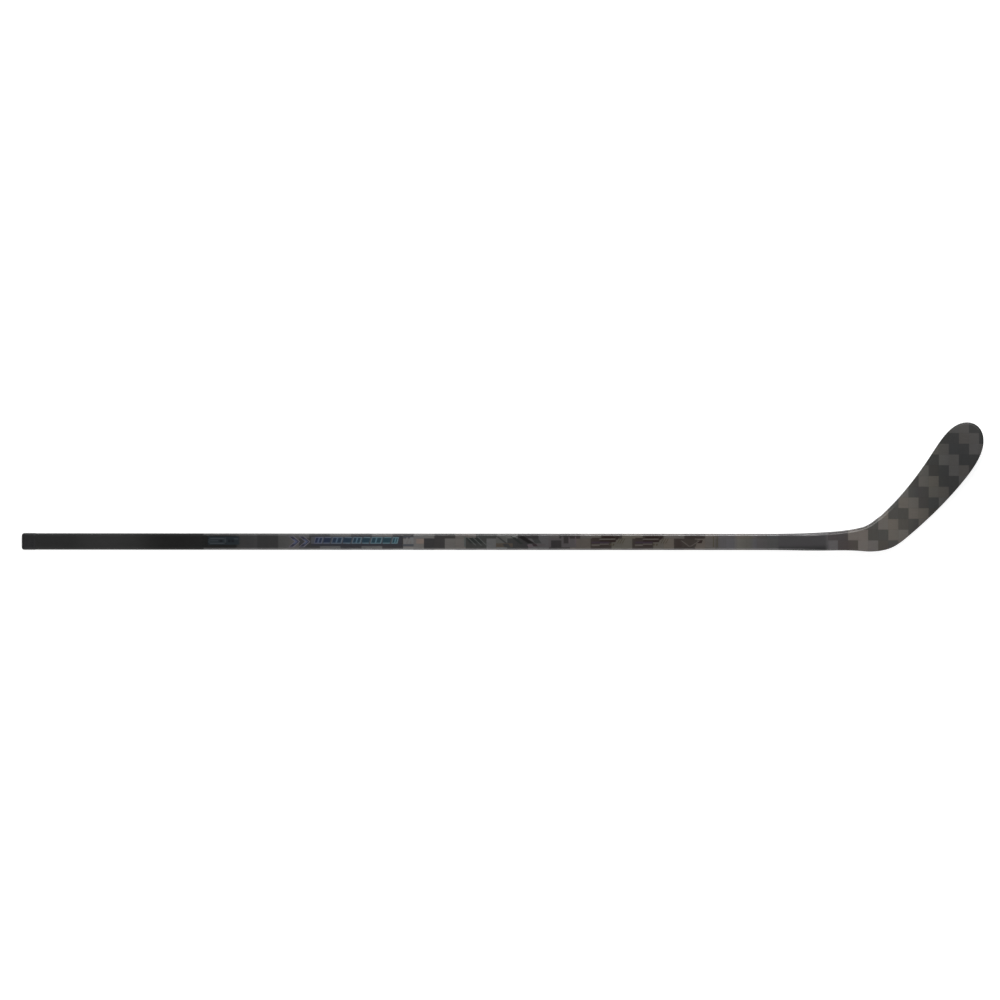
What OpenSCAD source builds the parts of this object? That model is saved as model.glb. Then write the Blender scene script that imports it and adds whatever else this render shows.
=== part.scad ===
// Composite ice hockey stick, left-hand shot, lying on the back of its shaft.
// +X runs from the butt to the toe, +Y to the blade's side, +Z out of the forehand face.
// The origin is on the shaft's back face, halfway between the butt end and the heel.
// A place on the stick is s, the distance from the butt end along its spine, then u
// across the wide face, towards the blade's top edge, and v through the thickness.

/* [Shaft] */
// Length from the butt end to the heel
stick_len = 1600; // [1500:10:1600]
// Width of the wide faces at the grip
shaft_w = 30.3; // [28:0.1:31]
// Thickness between the wide faces at the grip
shaft_t = 20; // [18.5:0.5:21]
// Radius of the four long corners
shaft_r = 4.5; // [3.5:0.5:6]
// Width that the shaft loses from the grip to the kick zone
kick_w = 0.2; // [0:0.1:2]
// Thickness that the shaft loses from the grip to the kick zone
kick_t = 1.4; // [0:0.1:2]

/* [Blade] */
// Length along the spine from the heel to the tip of the toe
blade_len = 255; // [235:1:270]
// Width gained down the hosel
hosel_grow = 8.4; // [6:0.2:12]
// Width gained round the heel
heel_grow = 21.8; // [16:0.2:24]
// Width gained from the heel to the toe
blade_grow = 22.6; // [16:0.2:26]
// Turn of the neck just above the heel, in degrees
neck_turn = 4.5; // [3:0.5:7]
// Turn of the heel itself, in degrees
heel_turn = 37; // [33:0.5:40]
// Radius of the rocker, from the heel to the toe
rocker_r = 680; // [500:10:1200]
// Length of the rounded toe
toe_len = 105; // [80:5:110]
// Squareness of the toe: 2 is round, and more is squarer
toe_power = 3.5; // [2.5:0.1:4]
// Thickness of the blade below the heel
blade_t = 6.6; // [6.2:0.1:8]
// Thickness that the blade loses from the heel to the toe
toe_thin = 1.2; // [0:0.1:1.2]
// Height of the curve at the tip of the toe
curve_rise = 36; // [25:1:45]
// How late the curve starts: more is a toe curve
curve_power = 2.5; // [2:0.1:2.8]
// Lean of the open face at the toe, in degrees
face_loft = 4; // [0:0.5:5]

/* [Laminate] */
// Thickness of the grip coat and of each outer wrap
ply = 0.25; // [0.2:0.05:0.4]
// Wall of the structural tube
tube_wall = 1.15; // [0.9:0.05:1.8]
// Wall of the tenon and of the hosel sleeve
sleeve_wall = 1.4; // [1:0.1:2]
// Thickness of each blade skin
skin_t = 0.8; // [0.6:0.1:1.2]
// Width of the solid rim round the blade
rim_w = 3.5; // [3.2:0.1:5]
// Radius of the rim's corners
rim_r = 2.4; // [1.5:0.1:2.4]
// Thickness of the rib between the foam cores
rib_w = 2; // [1:0.5:4]
// Thickness of each adhesive film
bond_t = 0.15; // [0.1:0.05:0.2]
// Thickness of the printed films
film_t = 0.1; // [0.1:0.05:0.2]

/* [Butt cap] */
// Length of the cap's head
cap_len = 25; // [15:1:35]
// How far the head stands proud of the shaft
cap_proud = 0.3; // [0:0.1:0.5]
// Length of the spigot inside the tube
spigot_len = 60; // [40:10:80]
// Wall of the hollow spigot
spigot_wall = 2; // [1.5:0.1:2.5]
// Number of glue grooves round the spigot
groove_n = 4; // [2:1:5]

/* [Hidden] */

carbon = [0.13, 0.13, 0.14];
coat_black = [0.07, 0.07, 0.08];
tow_grey = [0.3, 0.29, 0.28];
foam_pink = [0.86, 0.62, 0.58];
foam_cream = [0.9, 0.86, 0.74];
glue_amber = [0.8, 0.6, 0.3];

// Places along the spine. All but the cap's are set from the heel, because a stick is cut to
// length at its butt end.
heel_s = stick_len;
origin_s = stick_len / 2;
tip_s = heel_s + blade_len;
toe_s = tip_s - toe_len;
coat_to = heel_s - 1265;
kick_from = heel_s - 1100;
kick_to = heel_s - 350;
tenon_from = heel_s - 250;
flare_from = heel_s - 230;
wrap_to = heel_s - 205;
neck_from = heel_s - 180;
thin_from = heel_s - 170;
heel_w_from = heel_s - 126;
skin_from = heel_s - 77;
neck_to = heel_s - 48;
blade_w_from = heel_s - 35;
curve_from = heel_s - 20;
heel_w_to = heel_s - 3;
toe_thin_from = heel_s + 40;
thin_to = heel_s + 80;
loft_to = heel_s + 200;
blade_w_to = heel_s + 260;

// The spine is straight, then three arcs: the neck, the heel and the rocker.
heel_r = 95;
// How late the heel's width rises, so that its bottom edge stays straight up to the corner
heel_late = 2;
degree = 180 / PI;
neck_r = (neck_to - neck_from) * degree / neck_turn;
heel_to = neck_to + heel_r * heel_turn / degree;
blade_turn = neck_turn + heel_turn;

// Steps of the lofts
corner_steps = 4;
rim_steps = 2;
kick_steps = 5;
hosel_steps = 9;
tube_steps = 3;
heel_steps = 8;
blade_steps = 14;
toe_steps = 12;
fill_steps = 8;
// The last station stops just short of the tip, where the outline closes.
tip_stop = 0.06;
// Clearance between a foam core and the laminate round it
core_gap = 0.1;
// Gap between a printed film and the laminate under it
seat_gap = 0.01;
// Half of the height of the large printed marks
mark_u = 9;

shaft_stations = concat(
    [coat_to],
    [for (i = [0:kick_steps]) kick_from + i * (kick_to - kick_from) / kick_steps]
);
tenon_stations = [tenon_from, flare_from, (flare_from + wrap_to) / 2];
hosel_stations = [for (i = [0:hosel_steps]) wrap_to + i * (skin_from - wrap_to) / hosel_steps];
joint_stations = [for (i = [0:tube_steps]) hosel_stations[i]];
sleeve_stations = [for (i = [tube_steps:hosel_steps]) hosel_stations[i]];

// A station on the blade is [s, q], where q runs from 0 to 1 round the toe.
heel_stations = [for (i = [0:heel_steps]) [skin_from + i * (heel_to - skin_from) / heel_steps, 0]];
mid_stations = [for (i = [1:blade_steps]) [heel_to + i * (toe_s - heel_to) / blade_steps, 0]];
toe_stations = [
    for (i = [1:toe_steps])
    let (t = 1 - i * (1 - tip_stop) / toe_steps)
    [toe_s, 1 - t * t]
];
blade_stations = concat(heel_stations, mid_stations, toe_stations);
last_station = len(blade_stations) - 1;
core_first = heel_steps;
core_last = last_station - fill_steps;

function part_of(list, from, to) = [for (i = [from:to]) list[i]];
function backwards(list) = [for (i = [len(list) - 1:-1:0]) list[i]];
function joined(lists) = [for (l = lists) for (x = l) x];

// Smooth step from 0 to 1 between two places. With a power above 1 it rises late.
function ease(s, from, to, power = 1) =
    let (t = pow(min(1, max(0, (s - from) / (to - from))), power))
    t * t * (3 - 2 * t);

// Direction of the spine, in degrees from +X
function heading(s) =
    s < neck_from ? 0
    : s < neck_to ? (s - neck_from) / neck_r * degree
    : s < heel_to ? neck_turn + (s - neck_to) / heel_r * degree
    : blade_turn + (s - heel_to) / rocker_r * degree;

function arc_move(r, from, to) = r * [sin(to) - sin(from), cos(from) - cos(to)];

neck_end = [neck_from, 0] + arc_move(neck_r, 0, neck_turn);
heel_end = neck_end + arc_move(heel_r, neck_turn, blade_turn);

function spine(s) =
    s < neck_from ? [s, 0]
    : s < neck_to ? [neck_from, 0] + arc_move(neck_r, 0, heading(s))
    : s < heel_to ? neck_end + arc_move(heel_r, neck_turn, heading(s))
    : heel_end + arc_move(rocker_r, blade_turn, heading(s));

// Half of the stick's width, before the toe rounds it off
function half_w(s) =
    shaft_w / 2
    - kick_w / 2 * ease(s, kick_from, kick_to)
    + hosel_grow / 2 * ease(s, flare_from, heel_s)
    + heel_grow / 2 * ease(s, heel_w_from, heel_w_to, heel_late)
    + blade_grow / 2 * ease(s, blade_w_from, blade_w_to);

// Half of the stick's thickness
function half_t(s) =
    shaft_t / 2
    - kick_t / 2 * ease(s, kick_from, kick_to)
    - (shaft_t - kick_t - blade_t) / 2 * ease(s, thin_from, thin_to)
    - toe_thin / 2 * ease(s, toe_thin_from, tip_s);

function corner_r(s) = shaft_r - (shaft_r - rim_r) * ease(s, thin_from, skin_from);

// Height of the blade's back above the rest plane, from the curve
function rise(s) =
    s < curve_from ? 0
    : curve_rise * pow((s - curve_from) / (tip_s - curve_from), curve_power);

function loft_angle(s) = face_loft * ease(s, heel_s, loft_to);

// A point of the stick in the part's own frame
function place(s, u, v) =
    let (c = spine(s), h = heading(s))
    [
        c.x - u * sin(h) - origin_s,
        c.y + u * cos(h),
        half_t(s) + rise(s) + v - u * tan(loft_angle(s))
    ];

// Rounded rectangle round the shaft at s, inset evenly. Its order is anticlockwise from +s.
function ring(s, inset) =
    let (
        a = half_w(s) - inset,
        b = half_t(s) - inset,
        r = max(0.5, corner_r(s) - inset)
    )
    [
        for (c = [[1, -1, -90], [1, 1, 0], [-1, 1, 90], [-1, -1, 180]])
        for (i = [0:corner_steps])
        let (w = c[2] + i * 90 / corner_steps)
        place(s, c[0] * (a - r) + r * cos(w), c[1] * (b - r) + r * sin(w))
    ];

function rings(stations, inset) = [for (s = stations) ring(s, inset)];

// Place and half-width of a blade station, on an outline inset from the blade's own
function at_s(k, inset) = k[0] + k[1] * (toe_len - inset);
function at_u(k, inset) = (half_w(at_s(k, 0)) - inset) * sqrt(1 - pow(k[1], toe_power));

// Four corners of a slab's section between two widths and two heights
function slab_ring(s, u0, u1, v0, v1) =
    [place(s, u0, v0), place(s, u1, v0), place(s, u1, v1), place(s, u0, v1)];

// Section of the rim at a station, on the top edge (side 1) or the bottom edge (side -1)
function rim_ring(k, side) =
    let (
        so = at_s(k, 0),
        uo = at_u(k, 0) * side,
        si = at_s(k, rim_w),
        ui = at_u(k, rim_w) * side,
        b = half_t(so),
        arc = concat(
            [for (i = [0:rim_steps]) [90 - i * 90 / rim_steps, -1]],
            [for (i = [0:rim_steps]) [i * 90 / rim_steps, 1]]
        )
    )
    concat(
        [place(si, ui, -half_t(si))],
        [
            for (w = arc)
            let (
                v = w[1] * (b - rim_r + rim_r * sin(w[0])),
                share = rim_r * (1 - cos(w[0])) / rim_w,
                outer = place(so, uo, v),
                inner = place(si, ui, v)
            )
            outer + (inner - outer) * share
        ],
        [place(si, ui, half_t(si))]
    );

function side_faces(n, first, second) = [
    for (j = [0:n - 1])
    let (next = (j + 1) % n)
    each [
        [first * n + j, second * n + j, first * n + next],
        [first * n + next, second * n + j, second * n + next]
    ]
];

// A solid through a row of rings, closed by its two end rings
module loft(rows) {
    n = len(rows[0]);
    last = len(rows) - 1;
    sides = [for (i = [0:last - 1]) each side_faces(n, i, i + 1)];
    ends = [[for (j = [0:n - 1]) j], [for (j = [n - 1:-1:0]) last * n + j]];
    polyhedron(joined(rows), concat(sides, ends));
}

// A hollow solid: outer rings one way, inner rings back, joined at both ends
module sleeve(outer, inner) {
    rows = concat(outer, backwards(inner));
    n = len(rows[0]);
    count = len(rows);
    faces = [for (i = [0:count - 1]) each side_faces(n, i, (i + 1) % count)];
    polyhedron(joined(rows), faces);
}

// Rounded rectangle with true arcs
module section(w, h, r) {
    square([w - 2 * r, h], center = true);
    square([w, h - 2 * r], center = true);
    for (x = [-1, 1], y = [-1, 1])
        translate([x * (w / 2 - r), y * (h / 2 - r)])
            circle(r, $fn = 48);
}

// A slab inside the blade between two stations. u0 and u1 are in mm where they are given,
// and elsewhere the slab reaches the rim on that side.
module core_slab(first, last, u0, u1) {
    inset = rim_w + core_gap;
    loft([
        for (k = part_of(blade_stations, first, last))
        let (
            s = at_s(k, inset),
            u = at_u(k, inset),
            v = half_t(s) - skin_t - core_gap
        )
        slab_ring(s, is_undef(u0) ? -u : u0, is_undef(u1) ? u : u1, -v, v)
    ]);
}

// One skin of the blade: side 1 is the forehand face, side -1 the back
module skin(side) {
    loft([
        for (k = blade_stations)
        let (
            s = at_s(k, rim_w),
            u = at_u(k, rim_w),
            b = half_t(s),
            v = side * (b - skin_t / 2)
        )
        slab_ring(s, -u, u, v - skin_t / 2, v + skin_t / 2)
    ]);
}

// A printed film on the front face between two places before the heel, from u = low to
// u = high, with both its ends slanted by lean
module film(from, to, low, high, lean) {
    function edge(before) =
        let (
            s = heel_s - before,
            t = s + lean,
            v0 = half_t(s) + seat_gap,
            v1 = half_t(t) + seat_gap
        )
        [
            place(s, low, v0),
            place(s, low, v0 + film_t),
            place(t, high, v1 + film_t),
            place(t, high, v1)
        ];
    loft([edge(to), edge(from)]);
}

// The head is a rounded block, flush with the shaft's back and proud elsewhere. The spigot is
// a box with grooves round it, and both are hollow.
head_end = 5;
head_round = 8;
head_steps = 5;
head_wall = 4;
tube_inset = ply + tube_wall;
spigot_inset = tube_inset + bond_t;
groove_w = 5;
groove_d = 0.7;
spigot_land = (spigot_len - groove_n * groove_w) / (groove_n + 1);

function head_ring(s, inset) = [for (p = ring(s, inset - cap_proud)) p + [0, 0, cap_proud]];

head_rings = [
    for (i = [head_steps:-1:0])
    let (w = i * 90 / head_steps)
    head_ring(head_end * (1 - sin(w)), head_round * (1 - cos(w)))
];

spigot_rings = concat(
    [ring(cap_len, spigot_inset)],
    [
        for (i = [0:groove_n - 1])
        let (s = cap_len + spigot_land + i * (spigot_land + groove_w))
        each [
            ring(s, spigot_inset),
            ring(s, spigot_inset + groove_d),
            ring(s + groove_w, spigot_inset + groove_d),
            ring(s + groove_w, spigot_inset)
        ]
    ],
    [ring(cap_len + spigot_len, spigot_inset)]
);

module butt_cap() {
    hollow = spigot_inset + spigot_wall;
    color([0.06, 0.06, 0.07])
        loft(concat(
            head_rings,
            [head_ring(cap_len, 0)],
            spigot_rings,
            [ring(cap_len + spigot_len, hollow), ring(head_end + head_wall, hollow)]
        ));
}

module cap_adhesive() {
    ends = [cap_len, cap_len + spigot_len];
    color(glue_amber)
        sleeve(rings(ends, tube_inset), spigot_rings);
}

module grip_coat() {
    color(coat_black)
        translate([cap_len - origin_s, 0, shaft_t / 2])
            rotate([90, 0, 90])
                linear_extrude(coat_to - cap_len)
                    difference() {
                        section(shaft_w, shaft_t, shaft_r);
                        section(shaft_w - 2 * ply, shaft_t - 2 * ply, shaft_r - ply);
                    }
}

module shaft_tube() {
    stations = concat([cap_len], shaft_stations, [flare_from, tenon_stations[2]], joint_stations);
    color(carbon)
        sleeve(rings(stations, ply), rings(stations, tube_inset));
}

module spread_tow_wrap() {
    stations = concat(shaft_stations, [flare_from, tenon_stations[2], wrap_to]);
    color(tow_grey)
        sleeve(rings(stations, 0), rings(stations, ply));
}

module tenon_bond() {
    stations = concat(tenon_stations, joint_stations);
    color(glue_amber)
        sleeve(rings(stations, tube_inset), rings(stations, spigot_inset));
}

// The tenon fits inside the tube. Below the tube's end it steps out to the full section.
module hosel_tenon() {
    tenon = concat(tenon_stations, joint_stations);
    inner = spigot_inset + sleeve_wall;
    color(carbon)
        sleeve(
            concat(rings(tenon, spigot_inset), rings(sleeve_stations, ply)),
            rings(concat(tenon, part_of(sleeve_stations, 1, len(sleeve_stations) - 1)), inner)
        );
}

module hosel_core() {
    stations = concat(tenon_stations, hosel_stations);
    color(foam_cream)
        loft(rings(stations, spigot_inset + sleeve_wall + core_gap));
}

module hosel_wrap() {
    color(carbon)
        sleeve(rings(hosel_stations, 0), rings(hosel_stations, ply));
}

module heel_core() {
    color(foam_cream)
        core_slab(0, core_first);
}

module core_rib() {
    color(carbon)
        core_slab(core_first, core_last, -rib_w / 2, rib_w / 2);
}

module upper_core() {
    color(foam_pink)
        core_slab(core_first, core_last, rib_w / 2, undef);
}

module lower_core() {
    color(foam_pink)
        core_slab(core_first, core_last, undef, -rib_w / 2);
}

module toe_fill() {
    color(glue_amber)
        core_slab(core_last, last_station);
}

module edge_rim() {
    color(carbon)
        loft(concat(
            [for (k = blade_stations) rim_ring(k, 1)],
            [for (k = backwards(blade_stations)) rim_ring(k, -1)]
        ));
}

module front_skin() {
    color(tow_grey)
        skin(1);
}

module back_skin() {
    color(tow_grey)
        skin(-1);
}

module size_label() {
    color([0.2, 0.27, 0.33])
        film(from = 1257, to = 1198, low = -6, high = 9, lean = 0);
}

module accent_decal() {
    color([0.24, 0.4, 0.62])
        film(from = 1108, to = 860, low = -mark_u, high = mark_u, lean = 8);
}

module hatch_decal() {
    color([0.4, 0.42, 0.4])
        film(from = 774, to = 568, low = -mark_u, high = mark_u, lean = -10);
}

module block_decals() {
    block_from = [560, 478, 396];
    block_len = [58, 58, 78];
    color([0.2, 0.18, 0.17])
        for (i = [0:2])
            film(block_from[i], block_from[i] - block_len[i], -mark_u, mark_u, lean = 10);
}

butt_cap();
cap_adhesive();
grip_coat();
shaft_tube();
spread_tow_wrap();
tenon_bond();
hosel_tenon();
hosel_core();
hosel_wrap();
heel_core();
core_rib();
upper_core();
lower_core();
toe_fill();
edge_rim();
front_skin();
back_skin();
size_label();
accent_decal();
hatch_decal();
block_decals();
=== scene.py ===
import math

import bmesh
import bpy
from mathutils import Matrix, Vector


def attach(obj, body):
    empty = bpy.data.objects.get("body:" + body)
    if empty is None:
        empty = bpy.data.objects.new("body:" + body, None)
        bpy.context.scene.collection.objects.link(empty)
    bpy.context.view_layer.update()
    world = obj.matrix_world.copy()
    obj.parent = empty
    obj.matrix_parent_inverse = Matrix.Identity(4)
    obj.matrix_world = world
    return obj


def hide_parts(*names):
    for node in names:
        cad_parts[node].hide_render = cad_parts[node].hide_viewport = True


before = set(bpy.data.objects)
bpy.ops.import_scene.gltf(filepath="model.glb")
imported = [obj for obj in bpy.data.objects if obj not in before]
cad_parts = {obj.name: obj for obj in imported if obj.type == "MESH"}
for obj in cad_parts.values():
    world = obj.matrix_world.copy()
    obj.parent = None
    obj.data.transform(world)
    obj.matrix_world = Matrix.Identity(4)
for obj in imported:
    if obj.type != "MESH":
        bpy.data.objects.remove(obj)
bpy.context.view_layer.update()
MM = 0.001

# ---------------------------------------------------------------- the stick's shape
SHAFT_W = 30.3
SHAFT_T = 20.0
SHAFT_R = 4.5
KICK_W = 0.2
KICK_T = 1.4
BLADE_LEN = 255.0
HOSEL_GROW = 8.4
HEEL_GROW = 21.8
BLADE_GROW = 22.6
NECK_TURN = math.radians(4.5)
HEEL_TURN = math.radians(37)
HEEL_R = 95.0
HEEL_LATE = 2
ROCKER_R = 680.0
TOE_LEN = 105.0
TOE_POWER = 3.5
BLADE_T = 6.6
TOE_THIN = 1.2
CURVE_RISE = 36.0
CURVE_POWER = 2.5
FACE_LOFT = math.radians(4)
PLY = 0.25
TUBE_WALL = 1.15
BOND_T = 0.15
SKIN_T = 0.8
RIM_W = 3.5
RIM_R = 2.4
CAP_LEN = 25.0
CAP_PROUD = 0.3
SPIGOT_LEN = 60.0

# Places along the spine, from the butt end
HEEL_S = 1600.0
ORIGIN_S = HEEL_S / 2
TIP_S = HEEL_S + BLADE_LEN
TOE_S = TIP_S - TOE_LEN
COAT_TO = HEEL_S - 1265
KICK_FROM = HEEL_S - 1100
KICK_TO = HEEL_S - 350
FLARE_FROM = HEEL_S - 230
WRAP_TO = HEEL_S - 205
NECK_FROM = HEEL_S - 180
THIN_FROM = HEEL_S - 170
HEEL_W_FROM = HEEL_S - 126
SKIN_FROM = HEEL_S - 77
NECK_TO = HEEL_S - 48
BLADE_W_FROM = HEEL_S - 35
CURVE_FROM = HEEL_S - 20
HEEL_W_TO = HEEL_S - 3
TOE_THIN_FROM = HEEL_S + 40
THIN_TO = HEEL_S + 80
LOFT_TO = HEEL_S + 200
BLADE_W_TO = HEEL_S + 260

# The spine is straight, then three arcs: the neck, the heel and the rocker.
NECK_R = (NECK_TO - NECK_FROM) / NECK_TURN
HEEL_TO = NECK_TO + HEEL_R * HEEL_TURN
BLADE_TURN = NECK_TURN + HEEL_TURN

# Steps of the meshes' rounded corners
CORNER_STEPS = 10
RIM_STEPS = 8


def ease(s, start, end, power=1):
    """Smooth step from 0 to 1 between two places. With a power above 1 it rises late."""
    t = min(1.0, max(0.0, (s - start) / (end - start))) ** power
    return t * t * (3 - 2 * t)


def heading(s):
    """Direction of the spine at s, from +X."""
    if s < NECK_FROM:
        return 0.0
    if s < NECK_TO:
        return (s - NECK_FROM) / NECK_R
    if s < HEEL_TO:
        return NECK_TURN + (s - NECK_TO) / HEEL_R
    return BLADE_TURN + (s - HEEL_TO) / ROCKER_R


def arc_move(r, start, end):
    """Move along an arc of radius r while the heading turns from start to end."""
    return Vector((r * (math.sin(end) - math.sin(start)), r * (math.cos(start) - math.cos(end))))


NECK_END = Vector((NECK_FROM, 0)) + arc_move(NECK_R, 0, NECK_TURN)
HEEL_END = NECK_END + arc_move(HEEL_R, NECK_TURN, BLADE_TURN)


def spine(s):
    """The middle of the stick at s, in the plane of the wide faces."""
    if s < NECK_FROM:
        return Vector((s, 0))
    if s < NECK_TO:
        return Vector((NECK_FROM, 0)) + arc_move(NECK_R, 0, heading(s))
    if s < HEEL_TO:
        return NECK_END + arc_move(HEEL_R, NECK_TURN, heading(s))
    return HEEL_END + arc_move(ROCKER_R, BLADE_TURN, heading(s))


def half_w(s):
    """Half of the stick's width, before the toe rounds it off."""
    return (
        SHAFT_W / 2
        - KICK_W / 2 * ease(s, KICK_FROM, KICK_TO)
        + HOSEL_GROW / 2 * ease(s, FLARE_FROM, HEEL_S)
        + HEEL_GROW / 2 * ease(s, HEEL_W_FROM, HEEL_W_TO, HEEL_LATE)
        + BLADE_GROW / 2 * ease(s, BLADE_W_FROM, BLADE_W_TO)
    )


def half_t(s):
    """Half of the stick's thickness."""
    return (
        SHAFT_T / 2
        - KICK_T / 2 * ease(s, KICK_FROM, KICK_TO)
        - (SHAFT_T - KICK_T - BLADE_T) / 2 * ease(s, THIN_FROM, THIN_TO)
        - TOE_THIN / 2 * ease(s, TOE_THIN_FROM, TIP_S)
    )


def corner_r(s):
    """Radius of the section's corners."""
    return SHAFT_R - (SHAFT_R - RIM_R) * ease(s, THIN_FROM, SKIN_FROM)


def rise(s):
    """Height of the blade's back above the floor, from the curve."""
    if s < CURVE_FROM:
        return 0.0
    return CURVE_RISE * ((s - CURVE_FROM) / (TIP_S - CURVE_FROM)) ** CURVE_POWER


def place(s, u, v):
    """A point at s, u across the wide face and v through the thickness, in row-frame mm."""
    c, h = spine(s), heading(s)
    loft = FACE_LOFT * ease(s, HEEL_S, LOFT_TO)
    return Vector((
        c.x - u * math.sin(h) - ORIGIN_S,
        c.y + u * math.cos(h),
        half_t(s) + rise(s) + v - u * math.tan(loft),
    ))


def ring(s, inset, lift=0.0):
    """Rounded rectangle round the stick at s, from the middle of its back and round."""
    a, b = half_w(s) - inset, half_t(s) - inset
    r = max(0.5, corner_r(s) - inset)
    points = [place(s, 0, -b)]
    for su, sv, start in ((1, -1, -90), (1, 1, 0), (-1, 1, 90), (-1, -1, 180)):
        for i in range(CORNER_STEPS + 1):
            w = math.radians(start + i * 90 / CORNER_STEPS)
            points.append(place(s, su * (a - r) + r * math.cos(w), sv * (b - r) + r * math.sin(w)))
    points.append(place(s, 0, -b))
    return [p + Vector((0, 0, lift)) for p in points]


def spread(start, end, count):
    """Evenly spaced values from start to end, in count steps."""
    return [start + (end - start) * i / count for i in range(count + 1)]


# ---------------------------------------------------------------- meshes
def make_piece(name, points, faces, uvs, materials, face_materials=None, sharp=35):
    """A mesh object from points in mm. Each corner's values, in metres, are its place along the
    stick, its place round it and its gap to the stick's top edge; two UV maps carry them."""
    mesh = bpy.data.meshes.new(name)
    mesh.from_pydata([p * MM for p in points], [], faces)
    if uvs:
        for title, picked in (("place", (0, 1)), ("edge", (2, 2))):
            layer = mesh.uv_layers.new(name=title)
            flat = [corner[i] for corners in uvs for corner in corners for i in picked]
            layer.data.foreach_set("uv", flat)
    for material in materials:
        mesh.materials.append(material)
    if face_materials:
        mesh.polygons.foreach_set("material_index", face_materials)
    mesh.polygons.foreach_set("use_smooth", [True] * len(mesh.polygons))
    mesh.set_sharp_from_angle(angle=math.radians(sharp))
    mesh.validate()
    obj = bpy.data.objects.new(name, mesh)
    bpy.context.scene.collection.objects.link(obj)
    return obj


def finish_piece(obj, slot, *nodes):
    """Ties a piece to the body and hides the nodes that it replaces. slot is not used."""
    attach(obj, "root")
    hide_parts(*nodes)
    return obj


def weld(obj, distance=0.002):
    """Joins points that lie on each other, and keeps the UV maps."""
    bm = bmesh.new()
    bm.from_mesh(obj.data)
    bmesh.ops.remove_doubles(bm, verts=bm.verts, dist=distance * MM)
    bmesh.ops.dissolve_degenerate(bm, edges=bm.edges, dist=distance * MM)
    bmesh.ops.recalc_face_normals(bm, faces=bm.faces)
    bm.to_mesh(obj.data)
    bm.free()
    return obj


def edge_gap(s, p):
    """How far a point of the section at s lies from the stick's top edge."""
    c, h = spine(s), heading(s)
    return half_w(s) - (p.y - c.y) * math.cos(h) + (p.x + ORIGIN_S - c.x) * math.sin(h)


def skin_rows(rows, stations, closed_rows=False):
    """Faces and UVs between rows of points. Each row is a strip; the rows may close in a loop."""
    n = len(rows[0])
    count = len(rows) if closed_rows else len(rows) - 1
    corners = []
    for s, row in zip(stations, rows):
        total = [0.0]
        for j in range(1, n):
            total.append(total[-1] + (row[j] - row[j - 1]).length)
        half = total[-1] / 2
        corners.append([
            (s * MM, (half - g) * MM, edge_gap(s, p) * MM) for g, p in zip(total, row)
        ])
    faces, uvs = [], []
    for i in range(count):
        k = (i + 1) % len(rows)
        for j in range(n - 1):
            faces.append((i * n + j, k * n + j, k * n + j + 1, i * n + j + 1))
            uvs.append([corners[i][j], corners[k][j], corners[k][j + 1], corners[i][j + 1]])
    return faces, uvs


def close_ends(faces, uvs, rows):
    """Adds a flat face at each end of a strip whose rows close on themselves."""
    n = len(rows[0])
    last = (len(rows) - 1) * n
    faces.append(tuple(range(n - 1)))
    faces.append(tuple(last + j for j in range(n - 2, -1, -1)))
    blank = [(0.0, 0.0, 0.0)] * (n - 1)
    uvs += [blank, blank]


def make_strip(name, rows, places, material, distance=0.002):
    """A closed body from rows of points, with a flat face at each end."""
    faces, uvs = skin_rows(rows, places)
    close_ends(faces, uvs, rows)
    points = [p for row in rows for p in row]
    return weld(make_piece(name, points, faces, uvs, [material]), distance)


def make_sleeve(name, stations, inset_in, material):
    """A hollow shell round the stick, closed at both its ends."""
    places = stations + stations[::-1]
    rows = [ring(s, 0) for s in stations]
    rows += [ring(s, inset_in) for s in stations[::-1]]
    faces, uvs = skin_rows(rows, places, closed_rows=True)
    points = [p for row in rows for p in row]
    return weld(make_piece(name, points, faces, uvs, [material]))


# A station on the blade is (s, q), where q runs from 0 to 1 round the toe.
def blade_stations(tip_stop):
    heel = [(s, 0.0) for s in spread(SKIN_FROM, HEEL_TO, 24)]
    middle = [(s, 0.0) for s in spread(HEEL_TO, TOE_S, 36)[1:]]
    toe = [(TOE_S, 1 - t * t) for t in spread(1, tip_stop, 44)[1:]]
    return heel + middle + toe


def at_s(k, inset):
    """Place of a blade station, on an outline inset from the blade's own."""
    return k[0] + k[1] * (TOE_LEN - inset)


def at_u(k, inset):
    """Half-width of that outline there, with the toe rounded."""
    return (half_w(at_s(k, 0)) - inset) * math.sqrt(max(0.0, 1 - k[1] ** TOE_POWER))


# ---------------------------------------------------------------- node graphs
# What the studio's lights do to a base colour on the front face
LIT = 0.94
SHEEN = 0.018
GRIP_SHEEN = 0.009
DARKEST = 0.001


def srgb(*channels):
    """Scene-linear colour from 8-bit screen values."""
    linear = []
    for c in channels:
        c = c / 255
        linear.append(c / 12.92 if c <= 0.04045 else ((c + 0.055) / 1.055) ** 2.4)
    return (*linear, 1.0)


def seen(*channels, sheen=SHEEN):
    """Base colour that shows as these 8-bit screen values on the front face in this studio."""
    return (*[max(DARKEST, (c - sheen) / LIT) for c in srgb(*channels)[:3]], 1.0)


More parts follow.
